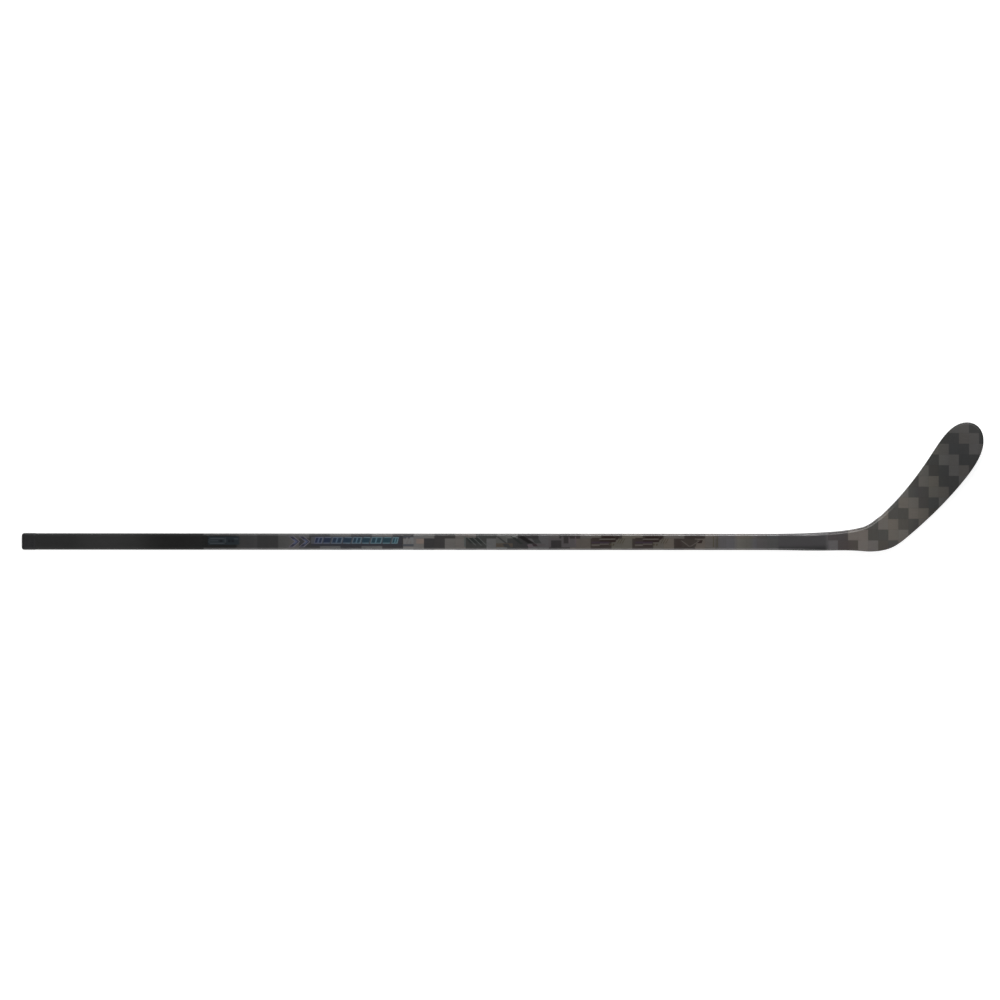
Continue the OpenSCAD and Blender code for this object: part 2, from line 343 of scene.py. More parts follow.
class Graph:
    """A material's node tree, built one call at a time."""

    def __init__(self, name):
        self.material = bpy.data.materials.new(name)
        self.material.use_nodes = True
        self.tree = self.material.node_tree
        self.tree.nodes.clear()

    def node(self, kind, inputs=None, **settings):
        made = self.tree.nodes.new("ShaderNode" + kind)
        for key, value in settings.items():
            setattr(made, key, value)
        for key, value in (inputs or {}).items():
            self.feed(made.inputs[key], value)
        return made

    def feed(self, socket, value):
        if isinstance(value, bpy.types.NodeSocket):
            self.tree.links.new(value, socket)
        elif socket.type == "VECTOR" and isinstance(value, tuple):
            socket.default_value = value[:3]
        else:
            socket.default_value = value

    def math(self, operation, *values):
        made = self.node("Math", operation=operation)
        for i, value in enumerate(values):
            self.feed(made.inputs[i], value)
        return made.outputs[0]

    def smooth(self, value, start, end):
        """Smooth step from 0 to 1 as value goes from start to end."""
        made = self.node("MapRange", interpolation_type="SMOOTHSTEP")
        for key, item in (("Value", value), ("From Min", start), ("From Max", end)):
            self.feed(made.inputs[key], item)
        return made.outputs["Result"]

    def mix(self, factor, a, b):
        made = self.node("Mix", data_type="RGBA")
        self.feed(made.inputs[0], factor)
        self.feed(made.inputs[6], a)
        self.feed(made.inputs[7], b)
        return made.outputs[2]

    def gain(self, colour, factor):
        """Colour times a grey factor."""
        made = self.node("VectorMath", operation="SCALE")
        self.feed(made.inputs[0], colour)
        self.feed(made.inputs["Scale"], factor)
        return made.outputs[0]

    def stretch(self, vector, x, y, z):
        made = self.node("VectorMath", operation="MULTIPLY")
        self.feed(made.inputs[0], vector)
        made.inputs[1].default_value = (x, y, z)
        return made.outputs[0]

    def noise(self, vector, scale, detail=2.0, roughness=0.5):
        made = self.node("TexNoise")
        for key, item in (("Vector", vector), ("Scale", scale), ("Detail", detail)):
            self.feed(made.inputs[key], item)
        made.inputs["Roughness"].default_value = roughness
        return made.outputs[0]

    def ramp(self, value, stops):
        made = self.node("ValToRGB")
        elements = made.color_ramp.elements
        while len(elements) > 1:
            elements.remove(elements[-1])
        elements[0].position, elements[0].color = stops[0]
        for position, colour in stops[1:]:
            elements.new(position).color = colour
        self.feed(made.inputs[0], value)
        return made.outputs[0]

    def surface(self, colour, roughness, bump=None, depth=1.0, **inputs):
        shader = self.node("BsdfPrincipled")
        self.feed(shader.inputs["Base Color"], colour)
        self.feed(shader.inputs["Roughness"], roughness)
        for key, value in inputs.items():
            self.feed(shader.inputs[key.replace("_", " ")], value)
        if bump is not None:
            made = self.node("Bump")
            made.inputs["Distance"].default_value = depth * MM
            made.inputs["Strength"].default_value = 1.0
            self.feed(made.inputs["Height"], bump)
            self.feed(shader.inputs["Normal"], made.outputs[0])
        out = self.node("OutputMaterial")
        self.feed(out.inputs["Surface"], shader.outputs[0])
        return self.material

    def here(self):
        """Object coordinates, in metres."""
        return self.node("TexCoord").outputs["Object"]

    def here_xy(self):
        """Object coordinates whole, and their x and y."""
        whole = self.here()
        split = self.node("SeparateXYZ", {"Vector": whole})
        return whole, split.outputs[0], split.outputs[1]

    def along_round(self):
        """The distance along the stick from the butt, and the distance round it, in metres."""
        uv = self.node("UVMap", uv_map="place")
        split = self.node("SeparateXYZ", {"Vector": uv.outputs[0]})
        return split.outputs[0], split.outputs[1]

    def edge_bevel(self, x, weight):
        """Height of a soft bevel along the top edge of the hosel and the heel."""
        uv = self.node("UVMap", uv_map="edge")
        split = self.node("SeparateXYZ", {"Vector": uv.outputs[0]})
        slope = self.smooth(split.outputs[0], BEVEL_GAP[0] * MM, BEVEL_GAP[1] * MM)
        start = self.smooth(x, BEVEL_X[0] * MM, BEVEL_X[1] * MM)
        end = self.smooth(x, BEVEL_X[3] * MM, BEVEL_X[2] * MM)
        shown = self.math("MULTIPLY", start, end)
        return self.math("MULTIPLY", self.math("MULTIPLY", slope, shown), weight)


def weave(g, column, row, turn):
    """Two-over-two twill of flat tows. column and row are in tows, and turn is 1 or -1.
    Gives the light tows' mask, a random value for each tow, and the height of the tows."""
    c = g.math("FLOOR", column)
    r = g.math("FLOOR", row)
    step = g.math("MULTIPLY_ADD", r, float(turn), c)
    phase = g.math("FLOORED_MODULO", step, 4.0)
    light = g.math("LESS_THAN", phase, 1.5)
    cell = g.node("CombineXYZ", {"X": c, "Y": r, "Z": light})
    chance = g.node("TexWhiteNoise", {"Vector": cell.outputs[0]}, noise_dimensions="3D")
    near_column = g.math("PINGPONG", g.math("FRACT", column), 0.5)
    near_row = g.math("PINGPONG", g.math("FRACT", row), 0.5)
    edge = g.math("MINIMUM", near_column, near_row)
    height = g.smooth(edge, 0.0, 0.06)
    return light, chance, height


def fibres(g, column, row, light):
    """Fine streaks that follow the tow on top: along the columns where it is light."""
    cell = g.node("CombineXYZ", {"X": column, "Y": row})
    first = g.noise(g.stretch(cell.outputs[0], 0.5, 26.0, 1.0), 1.6, 3.0, 0.6)
    second = g.noise(g.stretch(cell.outputs[0], 26.0, 0.5, 1.0), 1.6, 3.0, 0.6)
    flipped = g.math("SUBTRACT", 1.0, light)
    a = g.math("MULTIPLY", first, light)
    return g.math("MULTIPLY_ADD", second, flipped, a)


def tow_colour(g, light, chance, height, streak, light_tone, dark_tone):
    """Light and dark tows, each a little different, with streaks and thin dark edges."""
    base = g.mix(light, dark_tone, light_tone)
    split = g.node("SeparateColor", {"Color": chance.outputs["Color"]})
    level = g.math("MULTIPLY_ADD", split.outputs[0], 0.14, 0.93)
    fine = g.math("MULTIPLY_ADD", streak, 0.5, 0.75)
    edge = g.math("MULTIPLY_ADD", height, 0.1, 0.9)
    total = g.math("MULTIPLY", g.math("MULTIPLY", level, fine), edge)
    tint = g.mix(split.outputs[1], (1.05, 1.0, 0.95, 1.0), (0.97, 1.0, 1.03, 1.0))
    tinted = g.node("VectorMath", operation="MULTIPLY")
    g.feed(tinted.inputs[0], base)
    g.feed(tinted.inputs[1], tint)
    return g.gain(tinted.outputs[0], total)


def stops_along(pairs, start, end, sheen=SHEEN):
    """Ramp stops from places in mm and the colours seen there."""
    return [((s - start) / (end - start), seen(*colour, sheen=sheen)) for s, colour in pairs]


# ---------------------------------------------------------------- materials
# Where the fabric's tows lie, in mm
SHAFT_COLUMN = 434.0   # place where a pair of dark tows starts on the shaft
SHAFT_TOW = 19.2       # width of a tow on the shaft
SHAFT_ROW = 6.0        # height of the tow boundary above the shaft's centreline
ROWS_FROM = 492.0      # place where the rows of tows start to be shifted against each other
BLADE_COLUMN = 722.7   # row-frame x where a pair of light tows starts on the blade
BLADE_TOW = (18.58, 19.8)   # width of a tow on the blade, along x and along y
BLADE_ROW = 3.0        # row-frame y of a tow boundary on the blade

# Colours seen on the tows: at places along the shaft, and at row-frame x on the blade
LIGHT_TONES = [
    (335, (33, 33, 33)), (394, (34, 34, 34)), (398, (52, 52, 52)), (417, (57, 57, 57)),
    (433, (61, 61, 61)), (478, (68, 68, 68)), (530, (74, 74, 75)), (640, (78, 78, 78)),
    (703, (92, 92, 93)), (741, (93, 91, 89)), (782, (88, 85, 82)), (818, (86, 82, 79)),
    (858, (84, 84, 84)), (894, (80, 80, 78)), (934, (76, 74, 75)), (972, (75, 73, 73)),
    (1012, (76, 72, 70)), (1045, (77, 73, 70)), (1087, (80, 77, 71)), (1163, (81, 77, 72)),
    (1241, (83, 79, 76)), (1283, (80, 77, 74)), (1286, (82, 80, 81)), (1314, (77, 75, 76)),
    (1318, (88, 86, 81)), (1344, (78, 76, 72)), (1348, (79, 77, 78)), (1358, (73, 71, 72)),
    (1380, (68, 68, 68)), (1395, (68, 68, 68)),
]
DARK_TONES = [
    (335, (33, 33, 33)), (394, (38, 38, 38)), (434, (53, 53, 53)), (490, (54, 54, 55)),
    (600, (53, 53, 56)), (741, (54, 53, 54)), (782, (55, 54, 54)), (858, (56, 57, 56)),
    (894, (55, 55, 54)), (934, (52, 51, 52)), (972, (50, 48, 49)), (1010, (51, 49, 49)),
    (1047, (55, 51, 49)), (1241, (56, 52, 50)), (1279, (70, 67, 65)), (1286, (80, 78, 79)),
    (1314, (76, 74, 75)), (1318, (86, 83, 79)), (1344, (76, 74, 71)), (1348, (77, 75, 76)),
    (1358, (72, 70, 71)), (1380, (68, 68, 68)), (1395, (68, 68, 68)),
]
BLADE_FROM, BLADE_END = 680.0, 975.0
# On the blade both tones fall from the heel to the toe: the tows' own greys with painted shade
# over the curled toe
BLADE_LIGHT_TOWS_AND_SHADE = [
    (680, (86, 84, 85)), (705, (88, 86, 86)), (722, (97, 93, 90)), (763, (96, 92, 89)),
    (800, (94, 91, 87)), (837, (88, 86, 83)), (855, (84, 82, 79)), (874, (78, 77, 74)),
    (892, (74, 73, 71)), (911, (70, 69, 68)), (975, (70, 69, 69)),
]
BLADE_DARK_TOWS_AND_SHADE = [
    (680, (71, 69, 71)), (722, (71, 67, 67)), (745, (74, 72, 69)), (818, (73, 72, 70)),
    (837, (71, 70, 68)), (855, (64, 63, 63)), (874, (60, 60, 59)), (892, (57, 57, 56)),
    (911, (54, 54, 54)), (975, (53, 53, 53)),
]

# The bevel along the top edge of the hosel and the heel
BEVEL_GAP = (3.2, 5.8)                    # where it starts and ends, from the top edge
BEVEL_X = (605.0, 660.0, 780.0, 830.0)    # row-frame x where it fades in and out
BEVEL_DEPTH = 0.8

# The clear coat of the shaft
COAT_FROM = (950.0, 1060.0)    # where along the shaft it thickens
COAT_EDGE = (9.0, 13.0)        # and how far up from the middle of the face
COAT_WEIGHT = 0.25
COAT_MORE = 0.4

# The grip's grey at places along the shaft; its rises and falls are painted sheen
GRIP_GREY_AND_SHEEN = [
    (0, 42), (66, 42), (92, 42), (120, 46), (145, 47), (175, 46), (210, 44), (235, 37),
    (262, 32), (290, 31), (335, 33),
]


def cap_material():
    """Moulded satin plastic with fine flow speckle."""
    g = Graph("moulded_cap")
    whole = g.here()
    grain = g.noise(whole, 1400, 3, 0.6)
    cloud = g.noise(whole, 60, 2)
    level = g.math("MULTIPLY_ADD", grain, 0.25, g.math("MULTIPLY_ADD", cloud, 0.3, 0.72))
    colour = g.gain(seen(43, 43, 44, sheen=GRIP_SHEEN), level)
    rough = g.math("MULTIPLY_ADD", grain, 0.15, 0.42)
    return g.surface(colour, rough, grain, 0.02, Specular_IOR_Level=0.2)


def grip_material():
    """Tactile matte coat: fine orange peel, and painted sheen as slow changes of its grey along
    the shaft.
    """
    g = Graph("tactile_coat")
    whole = g.here()
    along = g.math("DIVIDE", g.along_round()[0], COAT_TO * MM)
    pairs = [(position, (level, level, level)) for position, level in GRIP_GREY_AND_SHEEN]
    # painted sheen: the grey gets lighter and darker along the shaft
    tone = g.ramp(along, stops_along(pairs, 0, COAT_TO, GRIP_SHEEN))
    peel = g.noise(whole, 2600, 2, 0.5)
    scuff = g.noise(g.stretch(whole, 12, 260, 260), 1.0, 3, 0.6)
    level = g.math("MULTIPLY_ADD", peel, 0.2, g.math("MULTIPLY_ADD", scuff, 0.24, 0.8))
    rough = g.math("MULTIPLY_ADD", scuff, 0.16, 0.44)
    height = g.math("MULTIPLY_ADD", peel, 1.0, g.math("MULTIPLY", scuff, 0.3))
    return g.surface(g.gain(tone, level), rough, height, 0.02, Specular_IOR_Level=0.2)


def edge_coat(g, s, girth):
    """Weight of the shaft's clear coat, which lies thicker along the lower shaft's top edge."""
    low = g.smooth(s, COAT_FROM[0] * MM, COAT_FROM[1] * MM)
    top = g.smooth(girth, COAT_EDGE[0] * MM, COAT_EDGE[1] * MM)
    return g.math("MULTIPLY_ADD", g.math("MULTIPLY", low, top), COAT_MORE, COAT_WEIGHT)


def shaft_weave_material():
    """Spread-tow fabric on the shaft, under clear coat, fading to black above."""
    g = Graph("shaft_spread_tow")
    s, girth = g.along_round()
    column = g.math("DIVIDE", g.math("SUBTRACT", s, SHAFT_COLUMN * MM), SHAFT_TOW * MM)
    row = g.math("DIVIDE", g.math("SUBTRACT", girth, SHAFT_ROW * MM), SHAFT_TOW * MM)
    shown = g.math("GREATER_THAN", s, ROWS_FROM * MM)
    row = g.math("MULTIPLY_ADD", g.math("ADD", row, 0.5), shown, -0.5)
    shifted = g.math("ADD", column, 1.0)
    light, chance, height = weave(g, shifted, row, -1)
    streak = fibres(g, column, row, light)
    along = g.math("DIVIDE", g.math("SUBTRACT", s, COAT_TO * MM), (WRAP_TO - COAT_TO) * MM)
    light_tone = g.ramp(along, stops_along(LIGHT_TONES, COAT_TO, WRAP_TO))
    dark_tone = g.ramp(along, stops_along(DARK_TONES, COAT_TO, WRAP_TO))
    colour = tow_colour(g, light, chance, height, streak, light_tone, dark_tone)
    rough = g.math("MULTIPLY_ADD", streak, 0.2, 0.32)
    relief = g.math("MULTIPLY_ADD", streak, 0.35, height)
    return g.surface(colour, rough, relief, 0.03, Specular_IOR_Level=0.4,
                     Coat_Weight=edge_coat(g, s, girth), Coat_Roughness=0.2)


def laminate_colour_and_shade(g, whole, girth):
    """Plain dark carbon of the hosel, with fine lengthwise fibres and painted shade that darkens
    its lower edge.
    """
    fine = g.noise(g.stretch(whole, 30, 1500, 1500), 1.0, 3, 0.6)
    cloud = g.noise(g.stretch(whole, 20, 60, 60), 1.0, 2)
    # painted shade: the colour darkens along the lower edge of the front face
    low = g.smooth(girth, -0.004, -0.016)
    back = g.smooth(girth, -0.03, -0.02)
    tone = g.mix(g.math("MULTIPLY", low, back), seen(66, 65, 66), seen(48, 48, 48))
    level = g.math("MULTIPLY_ADD", fine, 0.3, g.math("MULTIPLY_ADD", cloud, 0.16, 0.77))
    return g.gain(tone, level), fine


def blade_weave(g, x, y):
    """The blade's fabric at x and y: its colour, with painted shade towards the toe, its streaks
    and the height of its tows.
    """
    column = g.math("DIVIDE", g.math("SUBTRACT", x, BLADE_COLUMN * MM), BLADE_TOW[0] * MM)
    row = g.math("DIVIDE", g.math("SUBTRACT", y, BLADE_ROW * MM), BLADE_TOW[1] * MM)
    light, chance, height = weave(g, column, row, 1)
    streak = fibres(g, column, row, light)
    along = g.math("DIVIDE", g.math("SUBTRACT", x, BLADE_FROM * MM), (BLADE_END - BLADE_FROM) * MM)
    # these tones carry painted shade that darkens the fabric towards the toe
    light_tone = g.ramp(along, stops_along(BLADE_LIGHT_TOWS_AND_SHADE, BLADE_FROM, BLADE_END))
    dark_tone = g.ramp(along, stops_along(BLADE_DARK_TOWS_AND_SHADE, BLADE_FROM, BLADE_END))
    colour = tow_colour(g, light, chance, height, streak, light_tone, dark_tone)
    return colour, streak, height


def blade_material(name, plain_from=None):
    """Spread-tow fabric of the blade. The hosel's part of it fades into plain carbon."""
    g = Graph(name)
    whole, x, y = g.here_xy()
    colour, streak, height = blade_weave(g, x, y)
    relief = g.math("MULTIPLY_ADD", streak, 0.35, height)
    rough = g.math("MULTIPLY_ADD", streak, 0.2, 0.3)
    depth = 0.03
    if plain_from is not None:
        plain, fine = laminate_colour_and_shade(g, whole, g.along_round()[1])
        shown = g.smooth(x, (plain_from - 8) * MM, (plain_from + 3) * MM)
        colour = g.mix(shown, plain, colour)
        relief = g.mix(shown, fine, relief)
    relief = g.math("ADD", relief, g.edge_bevel(x, BEVEL_DEPTH / depth))
    return g.surface(colour, rough, relief, depth, Specular_IOR_Level=0.4,
                     Coat_Weight=COAT_WEIGHT, Coat_Roughness=0.18)


def rim_material():
    """The rim: the fabric runs over its flat sides, and its round edge is plain dark carbon."""
    g = Graph("blade_rim")
    whole, x, y = g.here_xy()
    colour = blade_weave(g, x, y)[0]
    normal = g.node("SeparateXYZ", {"Vector": g.node("NewGeometry").outputs["Normal"]})
    flat = g.smooth(g.math("ABSOLUTE", normal.outputs[2]), 0.55, 0.9)
    fine = g.noise(g.stretch(whole, 500, 500, 1800), 1.0, 3, 0.6)
    edge = g.gain(seen(52, 52, 52), g.math("MULTIPLY_ADD", fine, 0.4, 0.8))
    return g.surface(g.mix(flat, edge, colour), 0.34, fine, 0.02, Specular_IOR_Level=0.4,
                     Coat_Weight=COAT_WEIGHT, Coat_Roughness=0.18)


def carbon_material():
    """Unidirectional carbon under resin, for the parts inside."""
    g = Graph("unidirectional_carbon")
    whole = g.here()
    fine = g.noise(g.stretch(whole, 25, 2200, 2200), 1.0, 4, 0.65)
    band = g.noise(g.stretch(whole, 4, 160, 160), 1.0, 2)
    colour = g.ramp(g.math("MULTIPLY_ADD", band, 0.4, g.math("MULTIPLY", fine, 0.6)), [
        (0.3, srgb(26, 26, 28)), (0.55, srgb(48, 48, 50)), (0.8, srgb(78, 78, 80)),
    ])
    return g.surface(colour, g.math("MULTIPLY_ADD", fine, 0.2, 0.25), fine, 0.03,
                     Coat_Weight=0.3, Coat_Roughness=0.15)


def foam_material(name, tone, cell):
    """Closed-cell foam: rounded cells with thin, paler walls."""
    g = Graph(name)
    whole = g.here()
    cells = g.node("TexVoronoi", {"Vector": whole, "Scale": 1 / (cell * MM)}, feature="F1")
    walls = g.smooth(cells.outputs["Distance"], 0.15, 0.7)
    cloud = g.noise(whole, 90, 2)
    level = g.math("MULTIPLY_ADD", walls, 0.3, g.math("MULTIPLY_ADD", cloud, 0.2, 0.65))
    colour = g.gain(srgb(*tone), level)
    return g.surface(colour, 0.85, walls, 0.15)


def adhesive_material():
    """Amber adhesive with small bubbles."""
    g = Graph("amber_adhesive")
    whole = g.here()
    bubbles = g.node("TexVoronoi", {"Vector": whole, "Scale": 700.0}, feature="F1")
    dot = g.smooth(bubbles.outputs["Distance"], 0.1, 0.3)
    cloud = g.noise(whole, 120, 3)
    colour = g.mix(g.math("MULTIPLY", dot, cloud), srgb(226, 190, 120), srgb(176, 120, 52))
    return g.surface(colour, g.math("MULTIPLY_ADD", cloud, 0.2, 0.18), dot, 0.05,
                     Coat_Weight=0.3)


def resin_material():
    """Toe filler: resin with hollow microballoons."""
    g = Graph("filled_resin")
    whole = g.here()
    balls = g.node("TexVoronoi", {"Vector": whole, "Scale": 1600.0}, feature="SMOOTH_F1")
    cloud = g.noise(whole, 150, 4, 0.6)
    mixed = g.math("MULTIPLY_ADD", balls.outputs["Distance"], 0.5, g.math("MULTIPLY", cloud, 0.5))
    colour = g.ramp(mixed, [
        (0.2, srgb(150, 128, 88)), (0.5, srgb(178, 156, 112)), (0.8, srgb(204, 186, 146)),
    ])
    return g.surface(colour, 0.55, mixed, 0.06)


def ink_material(name, colour, end_colour=None, start=0.0, end=1.0, rough=0.3):
    """Printed ink: a slow change of colour along the stick, and a fine screen grain."""
    g = Graph(name)
    whole, x = g.here_xy()[:2]
    tone = seen(*colour)
    if end_colour:
        tone = g.mix(g.smooth(x, start, end), tone, seen(*end_colour))
    grain = g.noise(whole, 3200, 2, 0.5)
    patch = g.noise(g.stretch(whole, 90, 300, 300), 1.0, 3, 0.6)
    level = g.math("MULTIPLY_ADD", grain, 0.16, g.math("MULTIPLY_ADD", patch, 0.3, 0.77))
    return g.surface(g.gain(tone, level), g.math("MULTIPLY_ADD", grain, 0.12, rough), grain, 0.01,
                     Specular_IOR_Level=0.4, Coat_Weight=COAT_WEIGHT, Coat_Roughness=0.18)


def floor_material():
    """White paper with a faint tooth, lit from behind like a light table."""
    g = Graph("studio_paper")
    whole = g.here()
    tooth = g.noise(whole, 220, 3, 0.6)
    tone = g.mix(tooth, (0.56, 0.56, 0.56, 1), (0.6, 0.6, 0.6, 1))
    shader = g.node("BsdfPrincipled", {
        "Base Color": tone, "Roughness": 0.9, "Specular IOR Level": 0.1,
        "Emission Color": (1, 1, 1, 1), "Emission Strength": 0.75,
    })
    out = g.node("OutputMaterial")
    g.feed(out.inputs["Surface"], shader.outputs[0])
    return g.material


# ---------------------------------------------------------------- shells
def make_cap(material):
    """The head is a rounded block with a dished end, and the spigot goes into the tube."""
    head_end, head_round, steps = 5.0, 4.4, 12
    groove = 0.25
    tube_inset = PLY + TUBE_WALL + BOND_T
    spigot_hole = tube_inset + 2
    rows, places = [], []

    def add(s, inset, lift=0.0):
        rows.append(ring(s, inset, lift))
        places.append(s)

    for s, inset in ((1.2, 9.4), (1.2, 6.2), (0.9, 5.6), (0.15, 5.1), (0.0, 4.7)):
        add(s, inset - CAP_PROUD, CAP_PROUD)
    for i in range(1, steps + 1):
        w = math.radians(i * 90 / steps)
        add(head_end * (1 - math.cos(w)), head_round * (1 - math.sin(w)) - CAP_PROUD, CAP_PROUD)
    for s, inset in ((19.4, 0), (19.6, groove), (20.4, groove), (20.6, 0), (24.7, 0), (25.0, 0.2)):
        add(s, inset - CAP_PROUD, CAP_PROUD)
    add(CAP_LEN, tube_inset)
    land, groove_w, groove_d, count = 8.0, 5.0, 0.7, 4
    for i in range(count):
        start = CAP_LEN + land + i * (land + groove_w)
        for s, inset in ((0, 0), (0.4, groove_d), (groove_w - 0.4, groove_d), (groove_w, 0)):
            add(start + s, tube_inset + inset)
    add(CAP_LEN + SPIGOT_LEN, tube_inset)
    add(CAP_LEN + SPIGOT_LEN, spigot_hole)
    add(9.0, spigot_hole)
    return finish_piece(make_strip("cap_shell", rows, places, material), "cap", "butt_cap")


def make_shells(grip, shaft, hosel):
    """The coat, the fabric and the hosel's wrap: three sleeves that meet end to end."""
    coat = make_sleeve("grip_shell", spread(CAP_LEN, COAT_TO, 12), PLY, grip)
    finish_piece(coat, "grip", "grip_coat")
    wrap = make_sleeve("shaft_shell", spread(COAT_TO, WRAP_TO, 106), PLY, shaft)
    finish_piece(wrap, "spread_tow", "spread_tow_wrap")
    neck = make_sleeve("hosel_shell", spread(WRAP_TO, SKIN_FROM, 40), PLY, hosel)
    finish_piece(neck, "carbon", "hosel_wrap")


def make_face(name, side, material, slot, node):
    """One face of the blade. Its edge dips a little, so that a fine line shows round it."""
    across, bevel, dip = 14, 0.35, 0.1
    rows, places = [], []
    for k in blade_stations(0.012):
        s, u, b = at_s(k, RIM_W), at_u(k, RIM_W), half_t(at_s(k, RIM_W))
        edge = u + 0.1
        flat = max(u - bevel, 0.0)
        outer = side * b
        inner = side * (b - SKIN_T)
        row = [place(s, -edge, inner), place(s, -edge, outer - side * dip)]
        row += [place(s, w, outer) for w in spread(-flat, flat, across)]
        row += [place(s, edge, outer - side * dip), place(s, edge, inner)]
        row.append(row[0])
        rows.append(row)
        places.append(s)
    return finish_piece(make_strip(name, rows, places, material, 0.004), slot, node)


def rim_row(k, side):
    """Section of the rim at a station on one edge of the blade, with rounded corners."""
    so, uo = at_s(k, 0), at_u(k, 0) * side
    si, ui = at_s(k, RIM_W), at_u(k, RIM_W) * side
    b, dip, bevel = half_t(so), 0.1, 0.3
    row = [place(si, ui, -half_t(si) + dip)]
    start = (place(so, uo, -b), place(si, ui, -b))
    row.append(start[1] + (start[0] - start[1]) * (bevel / RIM_W))
    for sign, angles in ((-1, spread(90, 0, RIM_STEPS)), (1, spread(0, 90, RIM_STEPS))):
        for degrees in angles:
            w = math.radians(degrees)
            v = sign * (b - RIM_R + RIM_R * math.sin(w))
            share = RIM_R * (1 - math.cos(w)) / RIM_W
            outer, inner = place(so, uo, v), place(si, ui, v)
            row.append(outer + (inner - outer) * share)
    top = (place(so, uo, b), place(si, ui, b))
    row.append(top[1] + (top[0] - top[1]) * (bevel / RIM_W))
    row.append(place(si, ui, half_t(si) - dip))
    row.append(row[0])
    return row


def make_rim(material):
    """The rim goes up the blade's top edge, round the toe and back along the bottom edge."""
    stations = blade_stations(0.0)
    around = [(k, 1) for k in stations] + [(k, -1) for k in stations[-2::-1]]
    rows = [rim_row(k, side) for k, side in around]
    places = [at_s(k, 0) for k, side in around]
    return finish_piece(make_strip("blade_rim", rows, places, material), "carbon", "edge_rim")


# ---------------------------------------------------------------- printed marks
FILM_GAP = 0.012       # between the stick's face and the lowest plate
PLATE_T = 0.05         # one plate of a film
LAYER_STEP = 0.035     # from one layer of plates to the next, so that they bite into each other


def prism(outline, layer=0):
    """A thin closed plate over an outline of (s, u) points on the front face."""
    low = FILM_GAP + layer * LAYER_STEP
    count = len(outline)
    points = [place(s, u, half_t(s) + low) for s, u in outline]
    points += [place(s, u, half_t(s) + low + PLATE_T) for s, u in outline]
    faces = [tuple(range(count - 1, -1, -1)), tuple(range(count, 2 * count))]
    for j in range(count):
        k = (j + 1) % count
        faces.append((j, k, count + k, count + j))
    return points, faces


def bar(start, end, low, high, lean=0.0):
    """A parallelogram: its ends lean by lean mm over its height."""
    return [(start, low), (end, low), (end + lean, high), (start + lean, high)]


def chevron(start, arm, tip, low, high):
    """An arrow-like band, arm wide, whose middle lies tip mm nearer to the blade."""
    mid = (low + high) / 2
    return [
        (start, low), (start + arm, low), (start + arm + tip, mid),
        (start + arm, high), (start, high), (start + tip, mid),
    ]


def make_marks(name, plates, materials, node):
    """One piece from several plates. Each plate is an outline, a layer and a material's number."""
    points, faces, indices = [], [], []
    for outline, layer, number in plates:
        new_points, new_faces = prism(outline, layer)
        base = len(points)
        points += new_points
        faces += [tuple(base + j for j in face) for face in new_faces]
        indices += [number] * len(new_faces)
    obj = make_piece(name, points, faces, None, materials, indices, sharp=20)
    return finish_piece(obj, "film", node)


def make_label():
    """A muted size label: a few short lines and squares on a dark ground."""
    ground = ink_material("label_ground", (44, 48, 51))
    line = ink_material("label_line", (60, 64, 67))
    dark = ink_material("label_dark", (35, 39, 42))
    plates = [(bar(343, 401, -5.8, 9.4), 0, 0)]
    lines = ((344, 373, 4.4, 6.8), (344, 362, 0.6, 2.2), (344, 376, -4.2, -2.2), (391, 399, 4, 6))
    for start, end, low, high in lines:
        plates.append((bar(start, end, low, high), 1, 1))
    plates.append((bar(374, 376, -4, 7.4), 1, 1))
    plates.append((bar(344, 346, -4, 6.8), 1, 1))
    for start in (365, 380, 386.5):
        plates.append((bar(start, start + 4.6, -1.4, 3.6), 1, 2))
    return make_marks("label_film", plates, [ground, line, dark], "size_label")


def accent_links(start, widths):
    """Slanted links, by turns a frame round an upright bar and a pair of rails."""
    plates = []
    for i, width in enumerate(widths):
        end = start + width
        plates.append((bar(start, end, -3.6, 8.6, 3.4), 1, 0))
        if i % 2:
            plates.append((bar(start - 1, end + 1, -1.8, 6.8, 2.4), 2, 1))
        else:
            plates.append((bar(start + 1.8, end - 1.8, -2, 7, 2.6), 2, 1))
            middle = start + width * 0.42
            plates.append((bar(middle, middle + 2.8, -2, 7, 2.6), 3, 2))
        start = end + 3
    return plates


def make_accent():
    """Two tall chevrons and a run of slanted links, violet to teal, over a dark shadow band."""
    fade = (492 - ORIGIN_S) * MM, (694 - ORIGIN_S) * MM
    line = ink_material("accent_line", (80, 79, 94), (82, 102, 109), *fade)
    fill = ink_material("accent_fill", (44, 45, 62), (45, 61, 68), *fade)
    glow = ink_material("accent_glow", (72, 76, 96), (74, 98, 107), *fade)
    shade = ink_material("accent_shade", (52, 52, 57), (54, 54, 58), *fade)
    copper = ink_material("accent_copper", (105, 95, 90))
    pale = ink_material("accent_pale", (98, 98, 99))
    outline = ink_material("accent_outline", (90, 89, 96))
    dusk = ink_material("accent_dusk", (52, 52, 60))
    haze = ink_material("accent_haze", (69, 70, 74))
    materials = [line, fill, glow, shade, copper, pale, outline, dusk, haze]
    plates = [
        (bar(533, 700, -8.0, -4.0), 0, 3),
        (bar(693, 700, -4.0, 9.6), 0, 3),
        (bar(533, 694, -4.0, 9.2), 0, 8),
        (bar(702, 722, -8.6, -4.4), 0, 8),
        (bar(702, 722, 7.0, 9.8), 0, 8),
        (bar(718, 722, -4, 8), 1, 5),
        (bar(727, 741, -3.8, 5.4), 1, 4),
    ]
    for start in (704, 711):
        plates.append((bar(start, start + 3, -4, 8, 5), 1, 5))
    for start in (491, 510):
        plates.append((chevron(start, 10.5, 11.5, -10.2, 10.2), 1, 6))
        plates.append((chevron(start + 2.2, 6.4, 11.5, -9.4, 9.4), 2, 7))
        plates.append((chevron(start + 8.4, 3.6, 5.5, -4.6, 4.6), 3, 2))
    plates += accent_links(538, (15, 11, 19, 13, 16, 12, 20, 13, 11))
    return make_marks("accent_marks", plates, materials, "accent_decal")


